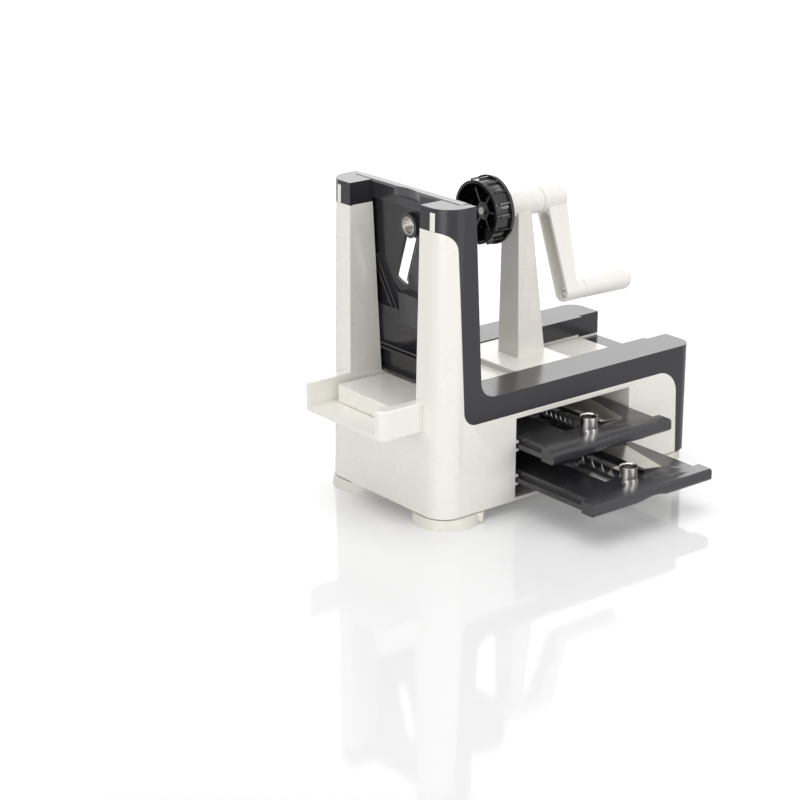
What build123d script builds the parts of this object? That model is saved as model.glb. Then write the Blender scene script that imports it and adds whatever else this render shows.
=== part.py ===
from build123d import *
from math import cos, pi, radians, sin, tan
import os

# A hand cranked spiralizer, in millimetres. X runs from the outlet trough to the crank,
# the storage bay opens towards -Y, and Z is up from the table. While it is modelled, X is
# measured from the foot of the body's front face and Y from the middle of the body.

# Body
side_depth = 16.0
rear_block = 71.0
body_top = 250.5
underside = 9.0
front_set_back = 3.4
front_corner_radius = 18.0
rear_corner_radius = 13.0
wall = 2.8
cover_thickness = 2.5
edge_rounding = 1.4

# Posts and side arms
post_depth = 32.2
post_lean = 2.9
post_foot_radius = 14.0
arm_top = 99.5
deck_top = 80.8
deck_thickness = 4.2
channel_half_width = 40.4
channel_draft = 0.7
arm_rib_pitch = 38.0
rib_thickness = 1.8

# Outlet trough
trough_reach = 38.8
trough_wall = 9.0
trough_corner_radius = 8.0

# Dark trim on the posts, arms and rear corners
trim_thickness = 2.2
cap_height = 17.5
band_width = 17.6
band_top_radius = 15.0
band_corner_radius = 12.0
leg_width = 16.0
leg_lean = 2.6
leg_radius = 20.0
trim_wrap = 11.5
sliver_width = 5.0
sliver_height = 14.0
sliver_offset = 11.0
liner_thickness = 3.2
crossbar_length = 22.0
crossbar_height = 24.0
crossbar_drop = 2.0

# Storage bay
bay_front = 75.0
bay_gap = 4.0
rail_ledge = 3.0
ledge_thickness = 2.0

# Blade plates: u across, v from the lip's outer edge, n from the outlet face to the food face
plate_length = 155.0
plate_half_width = 56.0
plate_thickness = 9.0
panel_face = 7.5
panel_back = 4.6
rail_overhang = 2.8
rail_thickness = 4.0
lip_overhang = 6.3
lip_depth = 14.0
lip_thickness = 9.5
lip_bevel = 1.6
finger_scoop_width = 31.0
finger_scoop_depth = 3.0
frame_wall = 2.2
tube_from_lip = 28.5
tube_radius = 7.0
tube_wall = 0.8
tube_height = 11.0
blade_start = 37.0
blade_end = 80.0
blade_edge_u = 12.0
blade_back_u = 36.0
blade_sheet = 0.8
seat_width = 7.0
mouth_width = 5.5
comb_u = -6.0
comb_opening_width = 15.0
comb_sheet = 0.8
fine_pitch = 5.4
fine_tooth = 4.0
fine_rise = 3.6
coarse_pitch = 10.0
coarse_tooth = 6.5
coarse_rise = 5.2
slice_blade_angle = 21.0
slice_blade_width = 11.0
slice_start = 8.5
slice_end = 52.0
slice_mouth = 4.0
slice_rise = 2.4
slice_ground_rise = 2.1
slice_overhang = 8.0
slice_hold = 6.0
window_radius = 2.0
comb_window_radius = 3.5
comb_window_lead = 5.0
comb_root = 2.0
comb_shoulder = 0.5
grind_width = 3.0
blade_corner_cut = 8.0
cut_margin = 1.0
blade_screw_lead = 8.0
blade_screw_tail = 14.0
small_screw_head_height = 1.0
band_lead = 20.0
band_tail = 24.0
slant_rib_near_u = -36.0
slant_rib_far_u = 30.0
slant_rib_pitch = 9.0
slant_rib_lean = 31.0
slant_rib_length = 26.0
slant_rib_floor = 0.8
slant_rib_set_back = 4.0
pocket_u = -2.5
pocket_lead = 18.0
pocket_radius = 9.0
pocket_hollow_radius = 6.6
pocket_floor = 2.0

# Where the plates sit
insert_set_back = 24.5
upper_plate_level = 52.0
lower_plate_level = 24.0
upper_plate_reach = 45.7
lower_plate_reach = 91.2
plate_clearance = 0.3

# Carriage
tongue_front = -15.5
tongue_length = 180.3
tongue_corner_radius = 4.0
tongue_bays = 5
tongue_height = 13.2
tongue_wall = 2.6
flange_thickness = 2.7
flange_length = 105.0
slide_clearance = 0.4
foot_plate_length = 58.9
foot_plate_thickness = 4.4
foot_plate_radius = 7.0
column_front_gap = 23.1
column_depth = 30.0
column_taper = 6.9
column_half_width = 12.2
column_side_taper = 1.25
column_wall = 3.0
column_corner_radius = 4.0
column_rib_heights = (40.0, 80.0)
column_rib_set_back = 8.0
foot_plate_skin = 0.8
screw_end_gap = 1.5

# Spindle and crank
barrel_radius = 10.5
barrel_length = 41.0
barrel_overhang = 14.0
shaft_radius = 4.0
bush_wall = 1.6
bush_length = 9.0
bush_flange = 1.2
bush_flange_rim = 1.8
running_clearance = 0.05
bush_fit = 0.01
flat_depth = 1.0
side_clearance = 0.3
hub_radius = 10.7
hub_length = 25.0
hub_step = 4.5
crank_radius = 76.0
crank_lean = 20.5
crank_half_width = 7.5
crank_wall = 2.2
crank_depth_at_grip = 11.0
grip_boss_radius = 7.6
grip_length = 50.5
grip_radius = 8.7
grip_pin_radius = 4.2
pin_margin = 1.0
prong_slot = 1.6
prong_slot_run = 4.0
grip_end_rounding = 0.6
barb_length = 3.0
barb_lead_in = 0.4
barb_overhang = 0.7

# Food holder
holder_radius = 27.4
holder_flange = 2.7
holder_standoff = 5.5
holder_hub_radius = 7.0
holder_hub_length = 6.0
holder_floor = 2.0
holder_drum_radius = 25.0
holder_drum_length = 13.5
holder_wall = 2.4
holder_ribs = 16
holder_rib_width = 1.6
holder_teeth = 20
holder_tooth_height = 3.6
holder_pin_circle = 12.5
holder_pins = 6
holder_pin_radius = 1.5
holder_pin_height = 8.0
holder_pin_point = 0.4
holder_rib_relief = 0.8
holder_join = 1.0

# Suction feet and screws
foot_radius = 27.0
foot_rise = 8.2
foot_neck_radius = 6.0
foot_inset_x = 23.7
foot_rear_inset_x = 31.0
foot_inset_y = 21.8
foot_tab_width = 8.0
foot_tab_turn = 50
foot_tab_overlap = 4.0
foot_tab_reach = 2.5
foot_tab_low = 1.5
foot_wall = 3.0
foot_draft = 1.5
foot_neck_height = 3.0
foot_neck_taper = 1.0
foot_bead = 1.2
screw_radius = 1.5
small_screw_radius = 1.0
small_screw_head = 2.1
screw_head_radius = 3.0
screw_head_height = 1.8
screw_length = 12.0
screw_inset = 12.0
boss_radius = 4.2
fit_clearance = 0.1


# Sizes and places worked out from the sizes above
half_width = plate_half_width + side_depth
rail_half_width = plate_half_width + rail_overhang
lip_half_width = plate_half_width + lip_overhang
bay_length = 2 * (plate_half_width + bay_gap)
body_length = bay_front + bay_length + rear_block
tongue_half_width = channel_half_width - liner_thickness - slide_clearance
flange_half_width = channel_half_width - slide_clearance
spindle_height = body_top - tube_from_lip
lean = tan(radians(post_lean))
deck_underside = deck_top - deck_thickness
deck_end = body_length - crossbar_length
bay_end = bay_front + bay_length
bay_floor = underside + cover_thickness
bay_middle = bay_front + bay_length / 2
cap_bottom = body_top - cap_height
lip_top_bevel = lip_thickness - lip_bevel
tongue_rear = tongue_front + tongue_length
tongue_bottom = deck_top + slide_clearance
tongue_top = tongue_bottom + tongue_height
foot_plate_front = tongue_rear - foot_plate_length
foot_plate_top = tongue_top + foot_plate_thickness
column_front = foot_plate_front + column_front_gap
column_rear = column_front + column_depth
barrel_rear = column_front + barrel_length - barrel_overhang
barrel_front = barrel_rear - barrel_length
hub_front = barrel_rear + side_clearance
hub_rear = hub_front + hub_length
bush_radius = shaft_radius + running_clearance + bush_wall
holder_rear = barrel_front - side_clearance - holder_standoff
holder_face = holder_rear - holder_flange
shaft_front = holder_face - holder_hub_length + holder_floor
shaft_rear = hub_rear - wall
arm_front = hub_front + hub_step
arm_rear_at_grip = arm_front + crank_depth_at_grip
grip_front = hub_rear
origin_x = (body_length - trough_reach) / 2
origin_y = (foot_radius - foot_inset_y - lower_plate_reach) / 2
grip_y = -crank_radius * sin(radians(crank_lean))
grip_z = spindle_height - crank_radius * cos(radians(crank_lean))
reach = 400.0


def post_rear(z):
    """X of the posts' rear face at height z."""
    return post_depth + (body_top - z) * lean


def channel_half(z):
    """Half the width between the posts and between the arms at height z."""
    return channel_half_width + (z - deck_top) * tan(radians(channel_draft))


def block(x_low, x_high, y_low, y_high, z_low, z_high):
    """A rectangular block between two corners."""
    size = Box(x_high - x_low, y_high - y_low, z_high - z_low)
    return Pos((x_low + x_high) / 2, (y_low + y_high) / 2, (z_low + z_high) / 2) * size


def outline(*corners):
    """A closed outline from (first, second, radius) corners, each rounded by its radius."""
    face = Polygon(*[(a, b) for a, b, radius in corners], align=None)
    for a, b, radius in corners:
        if radius > 0:
            corner = face.vertices().sort_by_distance((a, b, 0))[0]
            face = fillet(corner, radius)
    return face


def across(face, y_low, y_high):
    """Extrude an outline drawn in the side view between two Y values."""
    return Pos(0, y_high, 0) * extrude(Plane.XZ * face, y_high - y_low)


def upward(face, z_low, z_high):
    """Extrude an outline drawn in plan between two heights."""
    return extrude(Pos(0, 0, z_low) * face, z_high - z_low)


def rod(radius, x_low, x_high, y=0.0, z=spindle_height):
    """A round bar along X."""
    bar = Cylinder(radius, x_high - x_low, align=(Align.CENTER, Align.CENTER, Align.MIN))
    return Pos(x_low, y, z) * Rot(0, 90, 0) * bar


def upright(radius, x, y, z_low, z_high):
    """A round bar along Z."""
    bar = Cylinder(radius, z_high - z_low, align=(Align.CENTER, Align.CENTER, Align.MIN))
    return Pos(x, y, z_low) * bar


# ---------------------------------------------------------------- body shapes

def plan_outline(inset, set_back):
    """The body seen from above, drawn in by inset, its front edge moved back by set_back."""
    front = set_back + inset
    rear = body_length - inset
    side = half_width - inset
    front_radius = front_corner_radius - inset
    rear_radius = rear_corner_radius - inset
    return outline((front, -side, front_radius), (rear, -side, rear_radius),
                   (rear, side, rear_radius), (front, side, front_radius))


def body_block(inset):
    """The whole outer block of the body, front face leaning back, drawn in by inset."""
    low = Pos(0, 0, underside) * plan_outline(inset, 0)
    high = Pos(0, 0, body_top - inset) * plan_outline(inset, front_set_back)
    return loft([low.face(), high.face()])


def space_over_arms(inset):
    """The open space above the arms and behind the posts, grown by inset."""
    level = arm_top - inset
    above = body_top + band_width
    corner_x = post_rear(level) - inset
    face = outline((corner_x, level, post_foot_radius + inset), (body_length + reach, level, 0),
                   (body_length + reach, above, 0), (post_rear(above) - inset, above, 0))
    return across(face, -half_width - wall, half_width + wall)


def channel(grow):
    """The open channel between the posts and arms, over the deck, grown sideways."""
    above = body_top + band_width
    low = channel_half(deck_top) + grow
    high = channel_half(above) + grow
    face = Polygon((-low, deck_top), (low, deck_top), (high, above), (-high, above), align=None)
    return extrude(Plane.YZ * face, reach, both=True)


def side_view_mask():
    """The dark band in the side view: cap, post band, arm and rear leg."""
    front = -wall
    rear = body_length + wall
    above = body_top + wall
    band_at_cap = post_rear(cap_bottom) - band_width
    band_at_arm = post_rear(deck_top) - band_width
    leg_low = body_length - leg_width
    leg_high = leg_low - leg_lean
    return outline((front, cap_bottom, 0), (band_at_cap, cap_bottom, band_top_radius),
                   (band_at_arm, deck_top, band_corner_radius), (leg_high, deck_top, leg_radius),
                   (leg_low, underside - wall, 0), (rear, underside - wall, 0),
                   (rear, above, 0), (front, above, 0))


# ---------------------------------------------------------------- blade plates

def active_plane():
    """The plane of the plate in use: u runs to -Y, v down the posts and n to the rear."""
    slope = radians(post_lean)
    return Plane(origin=(insert_set_back, 0, body_top), x_dir=(0, -1, 0),
                 z_dir=(cos(slope), 0, sin(slope)))


def stored_place(level, plate_reach):
    """Where a plate lies in the bay: lip outside the near wall, food face up."""
    return Pos(bay_middle, -half_width - plate_reach, level)


def slot_for_plate():
    """Grooves and lip recesses that the plate in use drops into, in the plate's own frame."""
    gap = plate_clearance
    rear = lip_thickness + gap
    foot = plate_length + gap
    rails = block(-rail_half_width - gap, rail_half_width + gap, -lip_depth, foot,
                  -gap, rail_thickness + gap)
    frame = block(-plate_half_width - gap, plate_half_width + gap, -lip_depth, foot,
                  rail_thickness, rear)
    lip = block(-lip_half_width - gap, lip_half_width + gap, -lip_depth, lip_depth + gap,
                -gap, rear)
    return active_plane().location * (rails + frame + lip)


def slot_walls():
    """The slot for the plate with a wall's thickness round it."""
    grow = wall - plate_clearance
    shape = block(-lip_half_width - grow, lip_half_width + grow, -lip_depth,
                  plate_length + grow, -grow, lip_thickness + grow)
    return active_plane().location * shape


def window_outline(points, radius):
    """An opening through the panel from its (u, v) corners."""
    return outline(*[(u, v, radius) for u, v in points])


def through_panel(face):
    """Extrude an outline right through a plate."""
    return upward(face, -lip_thickness, 2 * lip_thickness)


def plate_blank():
    """Lip, rails, frame wall and panel of a plate, before its openings are cut."""
    side = outline((0, lip_bevel, 0), (lip_bevel, 0, 0), (lip_depth, 0, 0),
                   (lip_depth, lip_thickness, 0), (lip_bevel, lip_thickness, 0),
                   (0, lip_top_bevel, 0))
    lip = extrude(Plane.YZ * side, lip_half_width, both=True)
    rails = block(-rail_half_width, rail_half_width, lip_depth / 2, plate_length,
                  0, rail_thickness)
    body = block(-plate_half_width, plate_half_width, lip_depth / 2, plate_length,
                 0, plate_thickness)
    inner = plate_half_width - frame_wall
    tray = block(-inner, inner, lip_depth, plate_length - frame_wall,
                 panel_face, lip_thickness + wall)
    return lip + rails + body - tray


def finger_scoop():
    """The long scoop in the lip's outlet side that a finger pulls on."""
    radius = (finger_scoop_width ** 2 / 4 + finger_scoop_depth ** 2) / (2 * finger_scoop_depth)
    circle = Pos(0, finger_scoop_depth - radius) * Circle(radius)
    face = Plane.XZ * circle
    return Pos(0, lip_depth / 2, 0) * extrude(face, lip_depth)


def back_recesses():
    """Recesses on the outlet side that leave the panel a thin sheet with a plain middle band."""
    inner = plate_half_width - 2 * frame_wall
    middle_start = blade_end + band_lead
    middle_end = plate_length - band_tail
    upper = block(-inner, inner, lip_depth, middle_start, -wall, panel_back)
    middle = block(-inner, inner, middle_start, middle_end, -wall, rib_thickness)
    lower = block(-inner, inner, middle_end, plate_length - frame_wall, -wall, panel_back)
    return upper + middle + lower


def back_ribs():
    """Ribs on the outlet side: two across below the middle band, slanted ones beside the blade."""
    inner = plate_half_width - 2 * frame_wall
    middle_end = plate_length - band_tail
    ribs = []
    for row in range(2):
        v = middle_end + row * 2 * rib_thickness
        ribs.append(block(-inner, inner, v, v + rib_thickness, 0, panel_back))
    bar = block(0, slant_rib_length, -rib_thickness / 2, rib_thickness / 2,
                slant_rib_floor, panel_back)
    for first_u, slope in ((slant_rib_near_u, 90 - slant_rib_lean),
                           (slant_rib_far_u, 90 + slant_rib_lean)):
        for step in range(2):
            u = first_u + step * slant_rib_pitch
            ribs.append(Pos(u, blade_end - slant_rib_set_back, 0) * Rot(0, 0, slope) * bar)
    return ribs


def coring_tube():
    """Thin steel tube that takes out the core, sharp at its food end."""
    outer = upright(tube_radius, 0, tube_from_lip, 0, panel_face + tube_height)
    inner = upright(tube_radius - tube_wall, 0, tube_from_lip, -wall,
                    panel_face + 2 * tube_height)
    sharpening = Pos(0, tube_from_lip, panel_face + tube_height - tube_wall) * Cone(
        tube_radius - tube_wall, tube_radius, tube_wall,
        align=(Align.CENTER, Align.CENTER, Align.MIN))
    return outer - inner - sharpening


def tube_seat():
    """Moulded collar that carries the coring tube."""
    return upright(tube_radius + wall, 0, tube_from_lip, 0, panel_face)


def tube_hole():
    """Hole in the panel for the coring tube."""
    return upright(tube_radius + fit_clearance / 2, 0, tube_from_lip, -wall, reach / 4)


def shredder_window():
    """Opening under the raised blade, where the strips pass."""
    edge = blade_edge_u - mouth_width
    return through_panel(window_outline(
        [(edge, blade_start), (blade_back_u - seat_width, blade_start),
         (blade_back_u - seat_width, blade_end), (edge, blade_end)], window_radius))


def comb_window():
    """Opening beside the comb."""
    low = comb_u - comb_opening_width
    start = blade_start - comb_window_lead
    return through_panel(window_outline(
        [(low, start), (comb_u, start), (comb_u, blade_end), (low, blade_end)],
        comb_window_radius))


def blade_seat(rise):
    """Wedge of the panel that the inclined blade is screwed on."""
    face = outline((blade_back_u - seat_width, panel_back, 0), (blade_back_u, panel_back, 0),
                   (blade_back_u, panel_face, 0),
                   (blade_back_u - seat_width, panel_face + seat_rise(rise), 0))
    return across(face, blade_start, blade_end)


def seat_rise(rise):
    """Height of the blade's underside over the panel at the window's edge."""
    return rise * seat_width / (blade_back_u - blade_edge_u)


def blade_sheet_solid(rise):
    """Inclined steel blade, its edge ground, from the back edge up to the cutting edge."""
    run = blade_back_u - blade_edge_u
    slope = rise / run
    low = panel_face + fit_clearance
    face = outline((blade_edge_u, low + rise, 0), (blade_back_u, low, 0),
                   (blade_back_u, low + blade_sheet, 0),
                   (blade_edge_u + grind_width, low + rise - grind_width * slope + blade_sheet, 0))
    sheet = across(face, blade_start, blade_end)
    corner = Polygon((blade_back_u - blade_corner_cut, blade_end + cut_margin),
                     (blade_back_u + cut_margin, blade_end + cut_margin),
                     (blade_back_u + cut_margin, blade_end - blade_corner_cut - cut_margin),
                     align=None)
    sheet -= upward(corner, -reach / 8, reach / 8)
    return sheet - screw_holes(small_screw_radius + fit_clearance, 0)


def blade_screw_places():
    """Where the two screws of a raised blade stand, in (u, v)."""
    u = blade_back_u - small_screw_head
    return [(u, blade_start + blade_screw_lead), (u, blade_end - blade_screw_tail)]


def blade_screws(rise):
    """Two small screws that hold a raised blade down on its seat."""
    slope = rise / (blade_back_u - blade_edge_u)
    head_low = panel_face + 2 * fit_clearance + blade_sheet + 2 * small_screw_head * slope
    screws = []
    for u, v in blade_screw_places():
        shank = upright(small_screw_radius, u, v, panel_back + blade_sheet, head_low)
        screws.append(shank + upright(small_screw_head, u, v, head_low,
                                      head_low + small_screw_head_height))
    return screws


def screw_holes(radius, low):
    """Holes for the two screws of a raised blade, from low upwards."""
    return [upright(radius, u, v, low, 2 * lip_thickness) for u, v in blade_screw_places()]


def screw(x, y, z, length):
    """Pan head screw along Z, its head's underside at z and the shank going up."""
    shank = upright(screw_radius, x, y, z, z + length)
    return shank + upright(screw_head_radius, x, y, z - screw_head_height, z)


def comb(pitch, tooth, rise):
    """Row of upright pointed steel teeth on a strip set into the panel."""
    length = blade_end - blade_start
    count = int(length / pitch)
    foot = panel_back - comb_root
    shoulder = panel_face - comb_shoulder
    start = blade_start + (length - count * pitch) / 2
    points = [(blade_start, foot), (blade_end, foot), (blade_end, shoulder)]
    for index in reversed(range(count)):
        middle = start + (index + 0.5) * pitch
        points.append((middle + tooth / 2, shoulder))
        points.append((middle + tooth / 6, panel_face + rise))
        points.append((middle - tooth / 6, panel_face + rise))
        points.append((middle - tooth / 2, shoulder))
    points.append((blade_start, shoulder))
    strip = extrude(Plane.YZ * Polygon(*points, align=None), comb_sheet / 2, both=True)
    return Pos(comb_u + comb_sheet, 0, 0) * strip


def comb_slot():
    """Slot in the panel that the comb's strip stands in."""
    side = comb_sheet / 2 + fit_clearance / 2
    middle = comb_u + comb_sheet
    return block(middle - side, middle + side, blade_start - fit_clearance,
                 blade_end + fit_clearance, -wall, lip_thickness)


def shredder_frame(rise):
    """Moulded frame of a plate with a comb and a raised blade."""
    frame = plate_blank() - back_recesses()
    frame += back_ribs()
    frame += tube_seat()
    frame = frame - finger_scoop() - tube_hole() - shredder_window() - comb_window()
    frame += blade_seat(rise)
    return frame - comb_slot() - screw_holes(small_screw_radius + bush_fit, panel_back + 0.6)


def slicing_window():
    """Slanted opening in front of the slicing blade."""
    low = -slice_blade_width / 2
    high = slice_blade_width / 2 + slice_mouth
    face = window_outline([(low, slice_start), (high, slice_start), (high, slice_end),
                           (low, slice_end)], window_radius)
    place = Pos(0, tube_from_lip, 0) * Rot(0, 0, slice_blade_angle)
    return through_panel(place * face)


def slicing_frame():
    """Moulded frame of the plate with the straight slicing blade."""
    frame = plate_blank() - back_recesses()
    frame += back_ribs()
    frame += tube_seat()
    middle = Pos(pocket_u, blade_end + pocket_lead)
    frame += upward(middle * RegularPolygon(pocket_radius, 6), 0, panel_back)
    frame -= upward(middle * RegularPolygon(pocket_hollow_radius, 6), -wall, pocket_floor)
    return frame - finger_scoop() - tube_hole() - slicing_window()


def slicing_blade():
    """Straight steel blade beside the slanted opening, raised a little at its edge."""
    low = panel_face + fit_clearance
    back = slice_blade_width / 2 + slice_mouth
    face = outline((back - slice_overhang, low + slice_rise, 0), (back + slice_hold, low, 0),
                   (back + slice_hold, low + blade_sheet, 0),
                   (back - slice_hold, low + slice_ground_rise + blade_sheet, 0))
    place = Pos(0, tube_from_lip, 0) * Rot(0, 0, slice_blade_angle)
    return place * across(face, slice_start, slice_end)


# ---------------------------------------------------------------- body pieces

def trim_skin():
    """The outer skin of posts and arms that the dark trim is made of, both sides."""
    shell = body_block(0) - space_over_arms(0) - channel(0)
    core = body_block(trim_thickness) - space_over_arms(trim_thickness)
    inner_cap = channel(trim_thickness) & block(-reach, reach, -reach, reach, cap_bottom, reach)
    inner_end = channel(trim_thickness) & block(deck_end, reach, -reach, reach, 0, reach)
    core = core - inner_cap - inner_end
    return (shell - core) & across(side_view_mask(), -half_width - wall, half_width + wall)


def wrap_limit():
    """The region round the posts' and body's rear faces that stays light, inside the trim."""
    side = half_width - trim_wrap
    posts = block(post_depth - trim_thickness, post_rear(arm_top) + post_foot_radius, -side, side,
                  arm_top + post_foot_radius, cap_bottom)
    rear = block(body_length - 2 * trim_thickness, reach, -side, side, 0, deck_top)
    return posts + rear


def sliver():
    """The light sliver let into the front of a cap, far side."""
    low = half_width - sliver_offset - sliver_width - trim_thickness
    return block(-wall, post_depth / 2, low, low + sliver_width, cap_bottom,
                 cap_bottom + sliver_height)


def liner():
    """The arm's inner liner along the channel, standing over the carriage's flange."""
    start = post_rear(deck_top) + wall
    low = tongue_bottom + flange_thickness + slide_clearance
    side = channel_half_width - liner_thickness
    return block(start, deck_end, side, channel_half(arm_top) + trim_thickness, low, arm_top)


def far_trim():
    """Dark trim of the far side: cap, post band, arm cover with liner, and rear leg."""
    half = block(-reach, reach, 0, reach, 0, reach)
    trim = (trim_skin() & half) - wrap_limit() - sliver() + liner()
    return trim - slot_for_plate()


def bay():
    """The storage bay, open on the near side."""
    return block(bay_front, bay_end, -half_width - wall, half_width - wall,
                 bay_floor, deck_underside)


def bay_ledges():
    """Ledges on the bay's end walls that the plates' rails run between."""
    ledges = []
    for level in (lower_plate_level, upper_plate_level):
        for low in (level - plate_clearance - ledge_thickness,
                    level + rail_thickness + plate_clearance):
            for x in (bay_front, bay_end - rail_ledge):
                ledges.append(block(x, x + rail_ledge, -half_width, half_width - wall,
                                    low, low + ledge_thickness))
    return ledges


def inner_space():
    """The hollow inside the body: front and rear blocks, posts and arms, open below."""
    space = body_block(trim_thickness + wall) - space_over_arms(trim_thickness + wall)
    below = body_block(wall) & block(-reach, reach, -reach, reach, 0, deck_underside)
    space = space & block(-reach, reach, -reach, reach, deck_underside, reach)
    space = space - channel(trim_thickness + wall) - block(
        -reach, reach, -channel_half_width - wall, channel_half_width + wall,
        deck_underside, arm_top + reach)
    space = space + below
    space = space - block(bay_front - wall, bay_end + wall, -reach, reach, 0, deck_underside)
    return space - slot_walls()


def arm_ribs():
    """Cross ribs inside the hollow arms."""
    ribs = []
    count = int((deck_end - post_rear(arm_top)) / arm_rib_pitch)
    for index in range(1, count + 1):
        x = post_rear(arm_top) + index * arm_rib_pitch
        for side in (-1, 1):
            low = side * (channel_half(arm_top) + trim_thickness + wall / 2)
            high = side * (half_width - trim_thickness - wall / 2)
            ribs.append(block(x, x + rib_thickness, min(low, high), max(low, high),
                              deck_underside, arm_top - trim_thickness - wall / 2))
    return ribs


def trough():
    """Outlet trough in front of the posts, open at its front end, hollow walls."""
    side = channel_half_width + trough_wall
    face = outline((-trough_reach, -side, trough_corner_radius),
                   (front_corner_radius, -side, 0), (front_corner_radius, side, 0),
                   (-trough_reach, side, trough_corner_radius))
    shape = upward(face, deck_underside, arm_top)
    rims = shape.edges().group_by(Axis.Z)[-1].filter_by(Axis.X)
    shape = fillet(rims, edge_rounding)
    for sign in (-1, 1):
        middle = sign * (channel_half_width + trough_wall / 2)
        gap = trough_wall / 2 - wall * 0.8
        shape -= block(-trough_reach + trough_corner_radius, -wall, middle - gap, middle + gap,
                       0, arm_top - wall)
    return shape


def crossbar_shape(grow):
    """Dark rear crossbar: a cover over the deck's rear end with an apron down the back."""
    side = channel_half_width + grow / 2
    top = block(deck_end - grow, body_length + grow, -side, side,
                deck_top - crossbar_drop - trim_thickness - grow, deck_top - crossbar_drop)
    apron = block(body_length - trim_thickness - grow, body_length + grow, -side, side,
                  deck_top - crossbar_drop - crossbar_height - grow, deck_top - crossbar_drop)
    return top + apron


def rear_crossbar():
    """Crossbar with a softly rounded upper rear edge."""
    bar = crossbar_shape(0)
    edge = bar.edges().filter_by(Axis.Y).sort_by_distance((body_length, 0, deck_top))[0]
    return fillet(edge, edge_rounding)


def foot_places():
    """Centres of the four suction feet, with the side each one's tab points to."""
    y = half_width - foot_inset_y
    front = foot_inset_x
    rear = body_length - foot_rear_inset_x
    turn = foot_tab_turn
    return {"near_front_foot": (front, -y, -turn), "far_front_foot": (front, y, turn),
            "near_rear_foot": (rear, -y, -turn), "far_rear_foot": (rear, y, turn)}


def screw_places():
    """Where the bottom cover's screws stand, beside the bay."""
    y = half_width - screw_inset
    front = bay_front - wall - screw_inset / 2
    rear = bay_end + wall + screw_inset / 2
    return [(front, -y), (front, y), (rear, -y), (rear, y)]


def base_housing(trims):
    """Light moulded body: posts, arms, deck, storage bay and outlet trough in one shell."""
    shell = body_block(0) - space_over_arms(0) + trough()
    shell = shell - channel(0)
    rear_step = block(deck_end, reach, -channel_half_width, channel_half_width,
                      deck_top - crossbar_drop, deck_top)
    shell = shell - rear_step - crossbar_shape(0) - trims[0] - trims[1]
    shell = shell - inner_space() - bay() - cover_seat()
    shell += bay_ledges()
    shell += arm_ribs()
    for x, y in screw_places():
        shell += upright(boss_radius, x, y, bay_floor, deck_underside)
        outer = half_width - wall / 2
        web_low = min(y, outer if y > 0 else -outer)
        web_high = max(y, outer if y > 0 else -outer)
        shell += block(x - rib_thickness / 2, x + rib_thickness / 2, web_low, web_high,
                       bay_floor, deck_underside)
        shell -= upright(screw_radius + fit_clearance / 2, x, y, bay_floor,
                         bay_floor + screw_length)
    return shell - slot_for_plate()


def cover_seat():
    """The recess in the body's underside that the bottom cover lies in."""
    return body_block(wall) & block(-reach, reach, -reach, reach, 0, bay_floor)


def bottom_cover():
    """Flat cover that closes the body from below and is the storage bay's floor."""
    cover = body_block(wall + fit_clearance) & block(-reach, reach, -reach, reach, 0, bay_floor)
    for x, y, turn in foot_places().values():
        cover -= upright(foot_neck_radius + fit_clearance / 2, x, y, 0, reach)
    for x, y in screw_places():
        cover -= upright(screw_radius + fit_clearance, x, y, 0, reach)
    return cover


def suction_foot(x, y, turn):
    """Soft suction cup with a neck pushed through the cover and a tab to lift its rim."""
    neck_top = bay_floor + foot_neck_height
    bead = foot_neck_radius + foot_bead
    section = Polygon((0, foot_rise - foot_wall), (foot_radius - foot_wall, 0), (foot_radius, 0),
                      (foot_radius - foot_draft, foot_rise), (foot_neck_radius, foot_rise),
                      (foot_neck_radius, bay_floor), (bead, bay_floor + fit_clearance),
                      (foot_neck_radius - foot_neck_taper, neck_top), (0, neck_top), align=None)
    cup = revolve(Plane.XZ * section, Axis.Z)
    tab = block(foot_radius - foot_tab_overlap, foot_radius + foot_tab_reach,
                -foot_tab_width / 2, foot_tab_width / 2, foot_tab_low, foot_rise)
    return Pos(x, y, 0) * (cup + Rot(0, 0, turn) * tab)


def cover_screws():
    """Screws that hold the bottom cover."""
    return [screw(x, y, underside, screw_length) for x, y in screw_places()]


# ---------------------------------------------------------------- carriage pieces

def carriage_tongue():
    """Hollow tongue that slides along the channel, with flanges under the arms' liners."""
    side = tongue_half_width
    corner = tongue_corner_radius
    face = outline((tongue_front, -side, corner), (tongue_rear, -side, 0),
                   (tongue_rear, side, 0), (tongue_front, side, corner))
    shape = upward(face, tongue_bottom, tongue_top)
    rims = shape.edges().group_by(Axis.Z)[-1]
    shape = fillet(rims, edge_rounding / 2)
    shape += block(tongue_rear - flange_length, tongue_rear, -flange_half_width,
                   flange_half_width, tongue_bottom, tongue_bottom + flange_thickness)
    inner = side - tongue_wall
    pitch = (tongue_length - tongue_wall) / tongue_bays
    for index in range(tongue_bays):
        x = tongue_front + tongue_wall + index * pitch
        shape -= block(x, x + pitch - tongue_wall, -inner, inner, 0, tongue_top - tongue_wall)
    for x, y in column_screw_places():
        shape += upright(boss_radius, x, y, tongue_bottom, tongue_top - tongue_wall / 2)
        shape -= upright(screw_radius + fit_clearance, x, y, 0, reach)
        shape -= upright(screw_head_radius + fit_clearance, x, y, 0,
                         tongue_bottom + 2 * screw_head_height)
    return shape


def column_screw_places():
    """Where the screws from the tongue into the column's foot plate stand."""
    x_front = foot_plate_front + screw_inset
    x_rear = tongue_rear - screw_inset
    y = tongue_half_width - screw_inset
    return [(x_front, -y), (x_front, y), (x_rear, -y), (x_rear, y)]


def column_half(z):
    """Half the column's width at height z."""
    return column_half_width - (z - arm_top) * tan(radians(column_side_taper))


def column_rear_at(z):
    """X of the column's rear face at height z."""
    return column_rear - (z - arm_top) * tan(radians(column_taper))


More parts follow.
